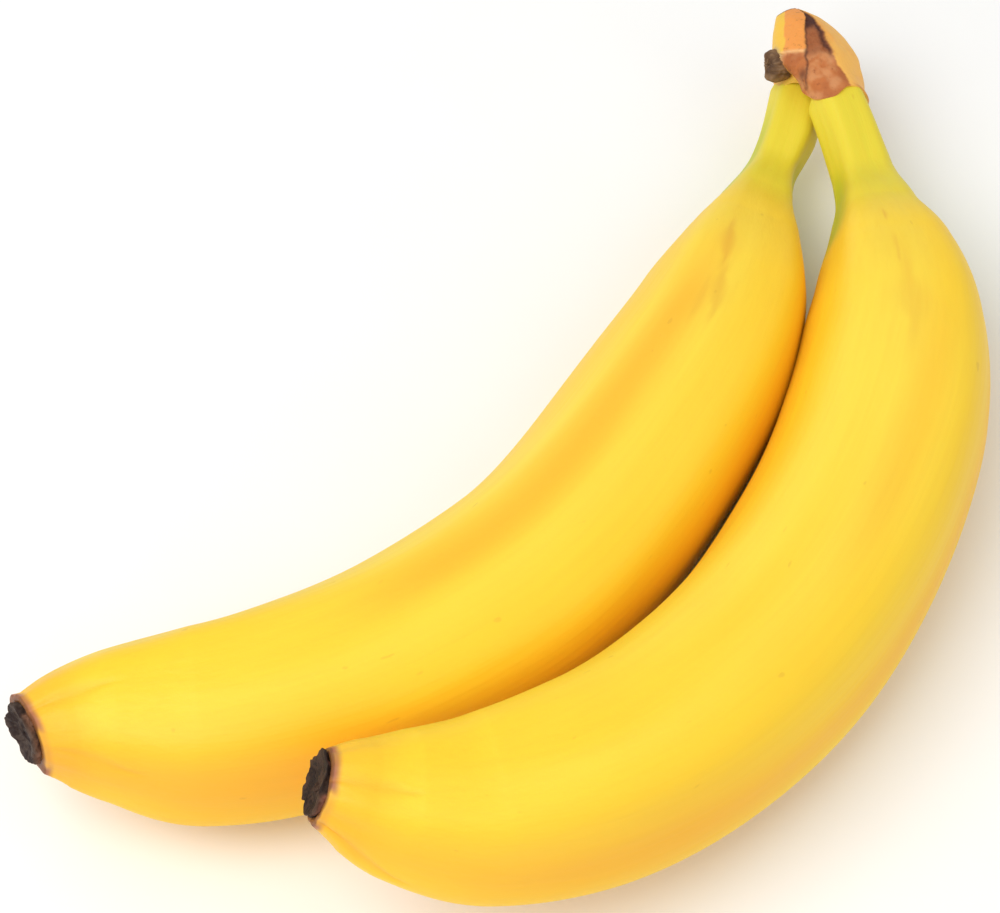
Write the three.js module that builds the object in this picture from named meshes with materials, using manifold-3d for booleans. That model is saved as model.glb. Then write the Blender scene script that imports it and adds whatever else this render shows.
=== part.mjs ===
// A bunch of two ripe bananas on one crown, lying on its side on a table.
//
// Millimetres, +Z up. The table is z = 0 and the origin is under the middle of the
// bunch's bounding box. The crown is at the far right, and both fingers curve from it
// towards the near left, the left one nestled in the hollow side of the right one.

import * as THREE from 'three';
import { mergeVertices } from 'three/addons/utils/BufferGeometryUtils.js';
import Module from 'manifold-3d';

const wasm = await Module();
wasm.setup();

// ---------------------------------------------------------------- driving sizes

const RIGHT_LENGTH = 209; // along the middle of the finger, crown to blossom end
const RIGHT_GIRTH = 35.6; // widest diameter
const RIGHT_NECK = 10.4; // diameter where the neck meets the crown
const RIGHT_TIP = 12; // diameter under the blossom end

const LEFT_LENGTH = 209;
const LEFT_GIRTH = 35.4;
const LEFT_NECK = 8.7;
const LEFT_TIP = 12.4;

const NECK_SPACING = 1.6; // air between the two necks at the crown
const FINGER_SPACING = 0.4; // air between the two skins where they nestle
const SEAT_GAP = 0.3; // air between pieces that butt together
const PRESS = 0.5; // depth of each belly that the table flattens

const CROWN_HEIGHT = 17.5; // above the middle of the two neck ends
const CROWN_SKIRT = 9; // below it, before the neck seats are cut
const CROWN_WIDTH = 19.6; // along the line from neck to neck
const CROWN_DEPTH = 16; // across that line
const CROWN_BOW = 1.4; // how far the crown's middle leans to the right neck's side

const BLOSSOM_LENGTH = 1.8;
const BLOSSOM_FLARE = 0.94; // widest part of a blossom end, as a share of the tip it caps

const STUB_DIAMETER = 5.4;
const STUB_PROUD = 3.2; // how far the stub stands out of the crown
const STUB_HEIGHT = 6.5; // up the crown, from the middle of the two neck ends

// ---------------------------------------------------------------- driving angles, degrees

const RIGHT_HEADING = -71.5; // the neck's direction on the table, from +X towards +Y
const LEFT_HEADING = -102.5;
const NECK_BEARING = 136; // the left neck's place, seen from the right neck
const CROWN_BEARING = 105; // the way the crown leans back from the necks
const CROWN_PITCH = 14;
const STUB_BEARING = -97; // round the crown, from the right neck's side
const RIGHT_RIDGE = 62; // where a ridge of the skin runs, up from the hollow side
const LEFT_RIDGE = 68;

// ---------------------------------------------------------------- how the sizes run along

// Each row is [share of the length, value], and smooth() joins the rows.

// How far the finger has turned from its neck's heading, in degrees.
const RIGHT_BEND = [
  [0, 0], [0.08, -7.5], [0.2, -15.5], [0.35, -34], [0.5, -46],
  [0.65, -62], [0.8, -81], [0.9, -98], [1, -109],
];
const LEFT_BEND = [
  [0, 0], [0.08, -5.5], [0.2, -3], [0.35, -14.5], [0.5, -21.5],
  [0.65, -41], [0.8, -58], [0.9, -71.5], [1, -58.5],
];

// Height of the underside over the table, in millimetres.
const RIGHT_LIFT = [[0, 13], [0.2, 4.3], [0.42, 0], [0.7, 4.5], [0.87, 12.8], [0.94, 21.3], [1, 32.8]];
const LEFT_LIFT = [[0, 8.6], [0.2, 2.1], [0.42, 0], [0.7, 0], [0.87, 2.8], [0.94, 8.8], [1, 17.3]];

// 0 is the plain run from the neck's diameter to the tip's, and 1 is the girth.
const RIGHT_FULLNESS = [
  [0, 0], [0.07, 0.02], [0.13, 0.28], [0.19, 0.6], [0.26, 0.83], [0.36, 0.97], [0.5, 1],
  [0.66, 0.985], [0.78, 0.92], [0.87, 0.75], [0.94, 0.475], [0.975, 0.24], [1, 0],
];
const LEFT_FULLNESS = [
  [0, 0], [0.07, 0.01], [0.13, 0.22], [0.19, 0.51], [0.26, 0.755], [0.36, 0.905], [0.5, 0.97],
  [0.66, 1], [0.78, 0.97], [0.87, 0.855], [0.94, 0.52], [0.975, 0.255], [1, 0],
];

// The crown's width, as a share of its full width, from the neck ends to the cut top.
const CROWN_TAPER = [[0, 1], [0.2, 0.97], [0.45, 0.89], [0.6, 0.82], [0.72, 0.7], [0.86, 0.5], [1, 0.28]];

// A blossom end's half profile: [share of its radius, share of its length].
const BLOSSOM_PROFILE = [[0, 0], [0.96, 0], [1, 0.3], [0.93, 0.68], [0.7, 0.94], [0.38, 1], [0, 0.86]];

// The stub's half profile past the crown: [share of its radius, share of how proud it is].
const STUB_PROFILE = [[1, 0.45], [0.9, 0.8], [0.55, 1], [0, 0.94]];

// ---------------------------------------------------------------- mesh fineness

const FINGER_SIDES = 30; // a multiple of the skin's five ridges
const FINGER_RINGS = 44;
const RING_CROWDING = 0.07; // pulls the rings towards both ends, where the shape turns fastest
const SPINE_STEPS = 240;
const SMALL_SIDES = 20;
const CROWN_SIDES = 32;
const CROWN_RINGS = 14;

const RIDGES = 5; // a banana's skin has five ridges with flatter faces between them
const RIDGE_HEIGHT = 0.028; // of the radius
const UP = new THREE.Vector3(0, 0, 1);

// ---------------------------------------------------------------- curves

const radians = THREE.MathUtils.degToRad;

// A smooth curve through the rows that never overshoots them: each row's slope is the
// harmonic mean of the slopes on its two sides, or level where they disagree in sign.
function smooth(rows, at) {
  const secant = (i) => (rows[i + 1][1] - rows[i][1]) / (rows[i + 1][0] - rows[i][0]);
  const last = rows.length - 1;
  const slope = (i) => {
    if (i === 0) return secant(0);
    if (i === last) return secant(last - 1);
    const before = secant(i - 1);
    const after = secant(i);
    return before * after > 0 ? (2 * before * after) / (before + after) : 0;
  };
  let i = 0;
  while (i < last - 1 && at > rows[i + 1][0]) i += 1;
  const span = rows[i + 1][0] - rows[i][0];
  const t = THREE.MathUtils.clamp((at - rows[i][0]) / span, 0, 1);
  const rise = t * t * (3 - 2 * t);
  return rows[i][1] * (1 - rise) + rows[i + 1][1] * rise
    + slope(i) * span * t * (1 - t) * (1 - t)
    - slope(i + 1) * span * t * t * (1 - t);
}

// A unit vector from a bearing on the table and a pitch up from it, in degrees.
function direction(bearing, pitch = 0) {
  const level = Math.cos(radians(pitch));
  return new THREE.Vector3(
    level * Math.cos(radians(bearing)),
    level * Math.sin(radians(bearing)),
    Math.sin(radians(pitch)),
  );
}

// ---------------------------------------------------------------- one finger

const RIGHT = {
  length: RIGHT_LENGTH,
  neck: RIGHT_NECK / 2,
  belly: RIGHT_GIRTH / 2,
  tip: RIGHT_TIP / 2,
  ridge: RIGHT_RIDGE,
  bend: RIGHT_BEND,
  lift: RIGHT_LIFT,
  fullness: RIGHT_FULLNESS,
};
const LEFT = {
  length: LEFT_LENGTH,
  neck: LEFT_NECK / 2,
  belly: LEFT_GIRTH / 2,
  tip: LEFT_TIP / 2,
  ridge: LEFT_RIDGE,
  bend: LEFT_BEND,
  lift: LEFT_LIFT,
  fullness: LEFT_FULLNESS,
};

// Mean radius of a finger's section.
function radiusAt(finger, share) {
  const end = THREE.MathUtils.lerp(finger.neck, finger.tip, share);
  return end + (finger.belly - end) * smooth(finger.fullness, share);
}

// Radius at one place round the section, with the five soft ridges. The angle is
// measured from the finger's hollow side, up over its top.
function skinRadius(finger, share, angle) {
  const ridge = Math.cos(RIDGES * (angle - radians(finger.ridge)));
  return radiusAt(finger, share) * (1 + RIDGE_HEIGHT * ridge);
}

// The finger's middle line. Its heading turns by the bend, and its height keeps the
// underside at the lift, so the level part of each step is what the climb leaves over.
function layAlong(finger, start, heading) {
  const step = finger.length / SPINE_STEPS;
  const heightAt = (share) => smooth(finger.lift, share) + radiusAt(finger, share);
  const points = [new THREE.Vector3(start.x, start.y, heightAt(0))];
  for (let i = 1; i <= SPINE_STEPS; i += 1) {
    const middle = (i - 0.5) / SPINE_STEPS;
    const climb = (heightAt(i / SPINE_STEPS) - heightAt((i - 1) / SPINE_STEPS)) / step;
    const level = Math.sqrt(Math.max(1 - climb * climb, 0)) * step;
    const next = direction(heading + smooth(finger.bend, middle)).multiplyScalar(level);
    next.add(points[i - 1]);
    next.z = heightAt(i / SPINE_STEPS);
    points.push(next);
  }
  return points;
}

// The section's place at a share of the length: its centre, the way the finger runs,
// the side towards the hollow of the bend, and the way up.
function sectionAt(spine, share) {
  const along = spine.getTangent(share);
  const side = new THREE.Vector3().crossVectors(along, UP).normalize();
  const up = new THREE.Vector3().crossVectors(side, along);
  return { centre: spine.getPoint(share), along, side, up };
}

function skinPoint(finger, section, share, angle) {
  const radius = skinRadius(finger, share, angle);
  return section.centre.clone()
    .addScaledVector(section.side, radius * Math.cos(angle))
    .addScaledVector(section.up, radius * Math.sin(angle));
}

// Lays a finger from its neck's place and heading, then lowers it until its belly is
// pressed into the table.
function layFinger(finger, start, heading) {
  const points = layAlong(finger, start, heading);
  const spine = new THREE.CatmullRomCurve3(points);
  let lowest = Infinity;
  for (let i = 0; i <= FINGER_RINGS; i += 1) {
    const share = i / FINGER_RINGS;
    const section = sectionAt(spine, share);
    for (let k = 0; k < FINGER_SIDES; k += 1) {
      const angle = (2 * Math.PI * k) / FINGER_SIDES;
      lowest = Math.min(lowest, skinPoint(finger, section, share, angle).z);
    }
  }
  for (const point of points) point.z -= lowest + PRESS;
  return { finger, spine: new THREE.CatmullRomCurve3(points) };
}

// The finger's skin: a straight lathe turning of its radius, with the ridges raised,
// then carried along the spine.
function fingerGeometry({ finger, spine }) {
  const profile = [new THREE.Vector2(0, 0)];
  for (let i = 0; i <= FINGER_RINGS; i += 1) {
    const even = i / FINGER_RINGS;
    const share = even - RING_CROWDING * Math.sin(2 * Math.PI * even);
    profile.push(new THREE.Vector2(radiusAt(finger, share), share * finger.length));
  }
  profile.push(new THREE.Vector2(0, finger.length));
  const geometry = new THREE.LatheGeometry(profile, FINGER_SIDES);
  const place = geometry.getAttribute('position');
  for (let i = 0; i < place.count; i += 1) {
    const share = THREE.MathUtils.clamp(place.getY(i) / finger.length, 0, 1);
    const section = sectionAt(spine, share);
    const radius = Math.hypot(place.getX(i), place.getZ(i));
    const angle = Math.atan2(place.getZ(i), place.getX(i));
    const onAxis = radius < finger.neck / 2;
    const point = onAxis ? section.centre : skinPoint(finger, section, share, angle);
    place.setXYZ(i, point.x, point.y, point.z);
  }
  return geometry;
}

// ---------------------------------------------------------------- the two fingers together

// Where a blossom end stands on its finger's tip.
function blossomSeat({ spine }) {
  const tip = sectionAt(spine, 1);
  return { point: tip.centre.clone().addScaledVector(tip.along, SEAT_GAP), along: tip.along };
}

// Sections of a finger past its neck, and of its blossom end. Each has a centre, and a
// reach: how far the section extends from there in a given direction.
function sectionsOf(laid) {
  const NECKS_END = 0.12;
  const SAMPLES = 70;
  const { finger, spine } = laid;
  const skin = Array.from({ length: SAMPLES + 1 }, (_, i) => {
    const share = NECKS_END + (1 - NECKS_END) * (i / SAMPLES);
    const { centre, side, up } = sectionAt(spine, share);
    const reach = (way) => skinRadius(finger, share, Math.atan2(way.dot(up), way.dot(side)));
    return { centre, reach };
  });
  const { point, along } = blossomSeat(laid);
  const blossom = BLOSSOM_PROFILE.map(([out, up]) => ({
    centre: point.clone().addScaledVector(along, up * BLOSSOM_LENGTH),
    reach: (way) => out * BLOSSOM_FLARE * finger.tip * Math.sin(way.angleTo(along)),
  }));
  return [...skin, ...blossom];
}

// The least air between two fingers, blossom ends included.
function airBetween(one, other) {
  const others = sectionsOf(other);
  let least = Infinity;
  for (const here of sectionsOf(one)) {
    for (const there of others) {
      const way = there.centre.clone().sub(here.centre);
      const air = way.length() - here.reach(way) - there.reach(way.clone().negate());
      least = Math.min(least, air);
    }
  }
  return least;
}

// Swings the left finger away from the right one, about its own neck, by the smallest
// splay that leaves the air between their skins.
function nestle(rightLaid, start) {
  const WIDEST_SPLAY = 30;
  const HALVINGS = 18;
  let closed = -WIDEST_SPLAY;
  let open = WIDEST_SPLAY;
  for (let i = 0; i < HALVINGS; i += 1) {
    const splay = (closed + open) / 2;
    const laid = layFinger(LEFT, start, LEFT_HEADING - splay);
    if (airBetween(rightLaid, laid) < FINGER_SPACING) closed = splay;
    else open = splay;
  }
  return layFinger(LEFT, start, LEFT_HEADING - open);
}

// The necks leave the crown side by side, the left one lower: what their difference in
// height leaves of the distance between them is laid off along the neck bearing.
const rightLaid = layFinger(RIGHT, new THREE.Vector3(), RIGHT_HEADING);
const leftTrial = layFinger(LEFT, new THREE.Vector3(), LEFT_HEADING);
const neckDrop = rightLaid.spine.getPoint(0).z - leftTrial.spine.getPoint(0).z;
const neckDistance = RIGHT.neck + LEFT.neck + NECK_SPACING;
const neckLevel = Math.sqrt(neckDistance ** 2 - neckDrop ** 2);
const leftLaid = nestle(rightLaid, direction(NECK_BEARING).multiplyScalar(neckLevel));

// ---------------------------------------------------------------- joining and cutting

// A closed solid from a geometry: its doubled vertices are merged, and the triangles
// that close up to nothing on an axis are left out.
function solid(geometry) {
  const bare = geometry.clone();
  bare.deleteAttribute('normal');
  bare.deleteAttribute('uv');
  const merged = mergeVertices(bare, 1e-4);
  const corners = merged.getIndex().array;
  const kept = [];
  for (let i = 0; i < corners.length; i += 3) {
    const [a, b, c] = [corners[i], corners[i + 1], corners[i + 2]];
    if (a !== b && b !== c && c !== a) kept.push(a, b, c);
  }
  return new wasm.Manifold(new wasm.Mesh({
    numProp: 3,
    vertProperties: new Float32Array(merged.getAttribute('position').array),
    triVerts: new Uint32Array(kept),
  }));
}

function geometryOf(body) {
  const mesh = body.getMesh();
  const geometry = new THREE.BufferGeometry();
  geometry.setAttribute('position', new THREE.BufferAttribute(mesh.vertProperties, 3));
  geometry.setIndex(new THREE.BufferAttribute(mesh.triVerts, 1));
  geometry.computeVertexNormals();
  return geometry;
}

// A block with its edges along three directions: from `back` behind a point to `ahead`
// in front of it along the first, from `inward` to `outward` along the second, and
// `half` to each side along the third.
function block(point, edges, { back = 0, ahead, inward, outward, half }) {
  const geometry = new THREE.BoxGeometry(ahead + back, outward + inward, 2 * half);
  geometry.translate((ahead - back) / 2, (outward - inward) / 2, 0);
  return geometry.applyMatrix4(new THREE.Matrix4().makeBasis(...edges).setPosition(point));
}

const REACH = 60; // past the outside of whatever a block cuts

// Everything under the table's surface.
function underTable() {
  const span = 2 * (RIGHT_LENGTH + LEFT_LENGTH);
  const edges = [UP.clone().negate(), new THREE.Vector3(0, 1, 0), new THREE.Vector3(1, 0, 0)];
  return solid(block(new THREE.Vector3(), edges, {
    ahead: REACH, inward: span, outward: span, half: span,
  }));
}

function pressedFinger(laid) {
  return geometryOf(solid(fingerGeometry(laid)).subtract(underTable()));
}

// ---------------------------------------------------------------- crown

const rightNeck = sectionAt(rightLaid.spine, 0);
const leftNeck = sectionAt(leftLaid.spine, 0);
const crownFoot = rightNeck.centre.clone().add(leftNeck.centre).multiplyScalar(0.5);
const crownAxis = direction(CROWN_BEARING, CROWN_PITCH);
const crownAcross = rightNeck.centre.clone().sub(leftNeck.centre)
  .projectOnPlane(crownAxis)
  .normalize();
const crownThrough = new THREE.Vector3().crossVectors(crownAcross, crownAxis);

// The crown's middle line bows to the right neck's side between its foot and its top.
function crownCentre(height) {
  const share = THREE.MathUtils.clamp(height / CROWN_HEIGHT, 0, 1);
  return crownFoot.clone()
    .addScaledVector(crownAxis, height)
    .addScaledVector(crownAcross, 4 * CROWN_BOW * share * (1 - share));
}

// A tapering oval block round the crown's middle line, its sides moved out by `grown`.
function crownBlock(grown = 0) {
  const foot = -CROWN_SKIRT;
  const profile = [new THREE.Vector2(0, foot)];
  for (let i = 0; i <= CROWN_RINGS; i += 1) {
    const height = foot + (i / CROWN_RINGS) * (CROWN_HEIGHT - foot);
    profile.push(new THREE.Vector2(1, height));
  }
  profile.push(new THREE.Vector2(0, CROWN_HEIGHT));
  const geometry = new THREE.LatheGeometry(profile, CROWN_SIDES);
  const place = geometry.getAttribute('position');
  for (let i = 0; i < place.count; i += 1) {
    const height = place.getY(i);
    const taper = smooth(CROWN_TAPER, Math.max(height, 0) / CROWN_HEIGHT);
    const across = place.getX(i) * ((CROWN_WIDTH / 2) * taper + grown);
    const through = place.getZ(i) * ((CROWN_DEPTH / 2) * taper + grown);
    const point = crownCentre(height)
      .addScaledVector(crownAcross, across)
      .addScaledVector(crownThrough, through);
    place.setXYZ(i, point.x, point.y, point.z);
  }
  return geometry;
}

// What one neck needs clear of the crown: all that lies past the neck's end, on its own
// side. The inner wall of the cut stands square to the line from neck to neck, past the
// neck's own far side and past the middle between the necks, so the two cuts meet and
// no thin web is left between them.
function neckSeat({ finger }, neck, outward, apart) {
  const OVERLAP = 0.2;
  const through = new THREE.Vector3().crossVectors(neck.along, outward).normalize();
  const across = new THREE.Vector3().crossVectors(through, neck.along);
  const down = neck.along.clone().projectOnPlane(outward).normalize();
  const slant = across.dot(outward);
  const neckSide = finger.neck * (1 + RIDGE_HEIGHT) + SEAT_GAP;
  const inward = Math.max(neckSide, apart / 2 + OVERLAP) / slant;
  return solid(block(neck.centre, [down, across, through], {
    back: SEAT_GAP / slant, ahead: REACH, inward, outward: REACH, half: REACH,
  }));
}

function crownGeometry() {
  const apart = rightNeck.centre.clone().sub(leftNeck.centre).dot(crownAcross);
  return geometryOf(solid(crownBlock())
    .subtract(neckSeat(rightLaid, rightNeck, crownAcross, apart))
    .subtract(neckSeat(leftLaid, leftNeck, crownAcross.clone().negate(), apart)));
}

// ---------------------------------------------------------------- small dried pieces

// Turns a lathe shape, made along +Y, to stand at a point and run along a direction.
function standAt(geometry, point, along) {
  const turn = new THREE.Quaternion().setFromUnitVectors(new THREE.Vector3(0, 1, 0), along);
  geometry.applyQuaternion(turn);
  return geometry.translate(point.x, point.y, point.z);
}

function latheFrom(rows, radius, length) {
  const profile = rows.map(([out, up]) => new THREE.Vector2(out * radius, up * length));
  return new THREE.LatheGeometry(profile, SMALL_SIDES);
}

// The dried end of the flower, a short black cap butted on the finger's tip.
function blossomGeometry(laid) {
  const { point, along } = blossomSeat(laid);
  const cap = latheFrom(BLOSSOM_PROFILE, BLOSSOM_FLARE * laid.finger.tip, BLOSSOM_LENGTH);
  return standAt(cap, point, along);
}

// The dried stub of a finger that was broken off: a knob that starts inside the crown
// and is cut back to the crown's side.
function stubGeometry() {
  const outward = crownAcross.clone().multiplyScalar(Math.cos(radians(STUB_BEARING)))
    .addScaledVector(crownThrough, -Math.sin(radians(STUB_BEARING)));
  const taper = smooth(CROWN_TAPER, STUB_HEIGHT / CROWN_HEIGHT);
  const root = (Math.min(CROWN_WIDTH, CROWN_DEPTH) / 2) * taper - STUB_DIAMETER / 2;
  const side = Math.hypot(
    (CROWN_WIDTH / 2) * taper * Math.cos(radians(STUB_BEARING)),
    (CROWN_DEPTH / 2) * taper * Math.sin(radians(STUB_BEARING)),
  );
  const rows = STUB_PROFILE.map(([out, up]) => [out, side + up * STUB_PROUD]);
  const knob = latheFrom([[0, root], [1, root], ...rows], STUB_DIAMETER / 2, 1);
  const whole = solid(standAt(knob, crownCentre(STUB_HEIGHT), outward));
  return geometryOf(whole.subtract(solid(crownBlock(SEAT_GAP))));
}

// ---------------------------------------------------------------- the bunch

const skinFinish = { roughness: 0.45, metalness: 0 };
const driedFinish = { roughness: 0.9, metalness: 0 };
const pieces = [
  ['banana_right', pressedFinger(rightLaid), { color: 0xffd83c, ...skinFinish }],
  ['banana_left', pressedFinger(leftLaid), { color: 0xfccf33, ...skinFinish }],
  ['crown', crownGeometry(), { color: 0xe9a04e, roughness: 0.7, metalness: 0 }],
  ['blossom_end_right', blossomGeometry(rightLaid), { color: 0x35231a, ...driedFinish }],
  ['blossom_end_left', blossomGeometry(leftLaid), { color: 0x3d2b22, ...driedFinish }],
  ['broken_finger_stub', stubGeometry(), { color: 0x6e5238, ...driedFinish }],
];

const bunch = new THREE.Group();
for (const [name, geometry, finish] of pieces) {
  const mesh = new THREE.Mesh(geometry, new THREE.MeshStandardMaterial(finish));
  mesh.name = name;
  bunch.add(mesh);
}

// The origin comes under the middle of the bunch.
const middle = new THREE.Box3().setFromObject(bunch).getCenter(new THREE.Vector3());
bunch.position.set(-middle.x, -middle.y, 0);

export default bunch;
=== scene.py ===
# %% [markdown]
# # A bunch of two ripe bananas
#
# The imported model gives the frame: two fingers lying nested on a table, the crown that
# joins their necks, the two dried blossom ends and a dried stub. Each of those solids is
# plain. Here each one gets a fine surface in the same place, and its real finish.
#
# Every surface is worked out with numpy as a grid of points, in millimetres, from the
# same few numbers as the solids, and goes into Blender in metres.

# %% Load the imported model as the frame
import math

import bpy
import numpy as np
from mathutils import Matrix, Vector


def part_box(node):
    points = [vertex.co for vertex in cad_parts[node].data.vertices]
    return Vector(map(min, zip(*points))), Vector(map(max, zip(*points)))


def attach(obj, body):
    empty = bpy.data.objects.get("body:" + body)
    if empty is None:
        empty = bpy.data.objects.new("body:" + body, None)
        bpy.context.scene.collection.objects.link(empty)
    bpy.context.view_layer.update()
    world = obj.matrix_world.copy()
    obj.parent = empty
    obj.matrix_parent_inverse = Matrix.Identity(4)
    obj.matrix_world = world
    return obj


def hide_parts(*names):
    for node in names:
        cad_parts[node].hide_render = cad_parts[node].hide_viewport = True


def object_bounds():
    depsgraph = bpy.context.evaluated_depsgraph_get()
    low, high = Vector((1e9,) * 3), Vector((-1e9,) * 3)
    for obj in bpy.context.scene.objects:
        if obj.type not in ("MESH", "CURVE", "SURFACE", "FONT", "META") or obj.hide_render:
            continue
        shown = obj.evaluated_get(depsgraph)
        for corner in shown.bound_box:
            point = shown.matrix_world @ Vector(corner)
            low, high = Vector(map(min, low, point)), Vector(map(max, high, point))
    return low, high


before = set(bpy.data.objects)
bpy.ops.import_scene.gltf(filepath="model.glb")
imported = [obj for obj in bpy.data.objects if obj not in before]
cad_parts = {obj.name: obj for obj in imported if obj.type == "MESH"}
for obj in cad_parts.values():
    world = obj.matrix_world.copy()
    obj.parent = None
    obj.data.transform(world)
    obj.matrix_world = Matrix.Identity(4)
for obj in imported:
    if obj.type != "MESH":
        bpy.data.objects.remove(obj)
cad_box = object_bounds()
MM = 0.001
print("CAD box, mm:", [round(v / MM, 1) for side in cad_box for v in side])

# %% [markdown]
# ## Camera
#
# The bunch is looked at from the front and well above, with a long lens, so that both
# fingers show their whole curve. The target is named from the bunch's own box.

# %% Camera
LOOK_DOWN = math.radians(55)
LENS = 120
DISTANCE = 556.7 * MM
TARGET_OFF_CENTRE = Vector((-3.3, -7.5, -2.2)) * MM

box_centre = (Vector(cad_box[0]) + Vector(cad_box[1])) / 2
target = box_centre + TARGET_OFF_CENTRE
towards_camera = Vector((0, -math.cos(LOOK_DOWN), math.sin(LOOK_DOWN)))
camera_data = bpy.data.cameras.new("camera")
camera_data.lens = LENS
camera_data.clip_start = 0.01
camera = bpy.data.objects.new("camera", camera_data)
camera.location = target + towards_camera * DISTANCE
camera.rotation_euler = (math.pi / 2 - LOOK_DOWN, 0, 0)
bpy.context.scene.collection.objects.link(camera)
bpy.context.scene.camera = camera
print("camera at", [round(v, 3) for v in camera.location])

# %% [markdown]
# ## Curves along a finger
#
# A finger's sizes change along its length, so each is a short list of rows, [share of the
# length, value], with a smooth curve through them. A plain spline would overshoot between
# rows and put waists in the fruit. Here each row's slope is the harmonic mean of the
# slopes on its two sides, or level where they disagree, which never overshoots.


# %% The smooth curve, and directions
def smooth(rows, at):
    """Value at `at`: a cubic between neighbouring rows, whose slopes at the rows are the
    harmonic means of the straight slopes on either side, and level at a turning point."""
    x, y = np.array(rows, float).T
    secant = np.diff(y) / np.diff(x)
    before, after = secant[:-1], secant[1:]
    same_way = before * after > 0
    total = np.where(same_way, before + after, 1.0)
    inner = np.where(same_way, 2 * before * after / total, 0.0)
    slope = np.concatenate([secant[:1], inner, secant[-1:]])
    at = np.asarray(at, float)
    i = np.clip(np.searchsorted(x, at, side="left") - 1, 0, len(x) - 2)
    span = x[i + 1] - x[i]
    t = np.clip((at - x[i]) / span, 0, 1)
    rise = t * t * (3 - 2 * t)
    bulge = slope[i] * span * t * (1 - t) ** 2 - slope[i + 1] * span * t * t * (1 - t)
    return y[i] * (1 - rise) + y[i + 1] * rise + bulge


def ramp(low, high, value):
    """0 below `low`, 1 above `high`, and an even S between them."""
    t = np.clip((value - low) / (high - low), 0, 1)
    return t * t * (3 - 2 * t)


def direction(bearing, pitch=0.0):
    """Unit vector from a bearing on the table, from +X towards +Y, and a pitch up, in degrees."""
    bearing, pitch = np.radians(bearing), np.radians(pitch)
    level = np.cos(pitch)
    up = np.sin(pitch) * np.ones_like(level * np.cos(bearing))
    return np.stack([level * np.cos(bearing), level * np.sin(bearing), up], axis=-1)


def unit(vectors):
    """Each vector over its own length."""
    return vectors / np.linalg.norm(vectors, axis=-1, keepdims=True)


# %% [markdown]
# ## The two fingers' numbers
#
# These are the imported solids' own sizes: lengths and diameters in millimetres, and how
# far each finger has turned, how high its underside is and how full it is at each share
# of its length. The slant is how much the blossom end's face is turned from square.

# %% The fingers
PRESS = 0.5
RIDGES = 5
RIDGE_HEIGHT = 0.028

RIGHT = dict(
    node="banana_right", length=209, girth=35.6, neck=10.4, tip=12, heading=-71.5, ridge=62, slant=0,
    bend=[[0, 0], [0.08, -7.5], [0.2, -15.5], [0.35, -34], [0.5, -46],
          [0.65, -62], [0.8, -81], [0.9, -98], [1, -109]],
    lift=[[0, 13], [0.2, 4.3], [0.42, 0], [0.7, 4.5], [0.87, 12.8], [0.94, 21.3], [1, 32.8]],
    fullness=[[0, 0], [0.07, 0.02], [0.13, 0.28], [0.19, 0.6], [0.26, 0.83], [0.36, 0.97], [0.5, 1],
              [0.66, 0.985], [0.78, 0.92], [0.87, 0.75], [0.94, 0.475], [0.975, 0.24], [1, 0]],
)
LEFT = dict(
    node="banana_left", length=209, girth=35.4, neck=8.7, tip=12.4, heading=-102.7, ridge=68, slant=12,
    bend=[[0, 0], [0.08, -5.5], [0.2, -3], [0.35, -14.5], [0.5, -21.5],
          [0.65, -41], [0.8, -58], [0.9, -71.5], [1, -58.5]],
    lift=[[0, 8.6], [0.2, 2.1], [0.42, 0], [0.7, 0], [0.87, 2.8], [0.94, 8.8], [1, 17.3]],
    fullness=[[0, 0], [0.07, 0.01], [0.13, 0.22], [0.19, 0.51], [0.26, 0.755], [0.36, 0.905],
              [0.5, 0.97], [0.66, 1], [0.78, 0.97], [0.87, 0.855], [0.94, 0.52],
              [0.975, 0.255], [1, 0]],
)


def radius_at(finger, share):
    """Mean radius: an even run from the neck's to the tip's, filled out to half the girth."""
    end = (finger["neck"] + (finger["tip"] - finger["neck"]) * share) / 2
    return end + (finger["girth"] / 2 - end) * smooth(finger["fullness"], share)


# %% [markdown]
# ## Laying a finger along its middle line
#
# The middle line is walked in small steps. Its heading is the neck's heading plus the
# bend, and its height is the underside's lift plus the radius, so the level part of each
# step is what the climb leaves over. At each point a section is carried: along the
# finger, sideways towards the hollow of its bend, and up.

# %% The middle line and its sections
SPINE_STEPS = 960


def lay(finger):
    """Walks the middle line from the origin. Adds `shares`, `line` and `along` arrays."""
    shares = np.linspace(0, 1, SPINE_STEPS + 1)
    step = finger["length"] / SPINE_STEPS
    height = smooth(finger["lift"], shares) + radius_at(finger, shares)
    climb = np.gradient(height, step)
    pitch = np.degrees(np.arcsin(np.clip(climb, -1, 1)))
    along = direction(finger["heading"] + smooth(finger["bend"], shares), pitch)
    steps = (along[1:] + along[:-1]) / 2 * step
    line = np.concatenate([np.zeros((1, 3)), np.cumsum(steps, axis=0)])
    line[:, 2] = height
    finger.update(shares=shares, line=line, along=along)


def section(finger, share):
    """Centre, along, side and up of the section at each share. Past either end the line
    runs straight on."""
    share = np.asarray(share, float)
    inside = np.clip(share, 0, 1)

    def pick(table):
        columns = [np.interp(inside, finger["shares"], column) for column in table.T]
        return np.stack(columns, axis=-1)

    along = unit(pick(finger["along"]))
    centre = pick(finger["line"]) + along * ((share - inside) * finger["length"])[..., None]
    side = unit(np.cross(along, [0, 0, 1.0]))
    return centre, along, side, np.cross(side, along)


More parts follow.
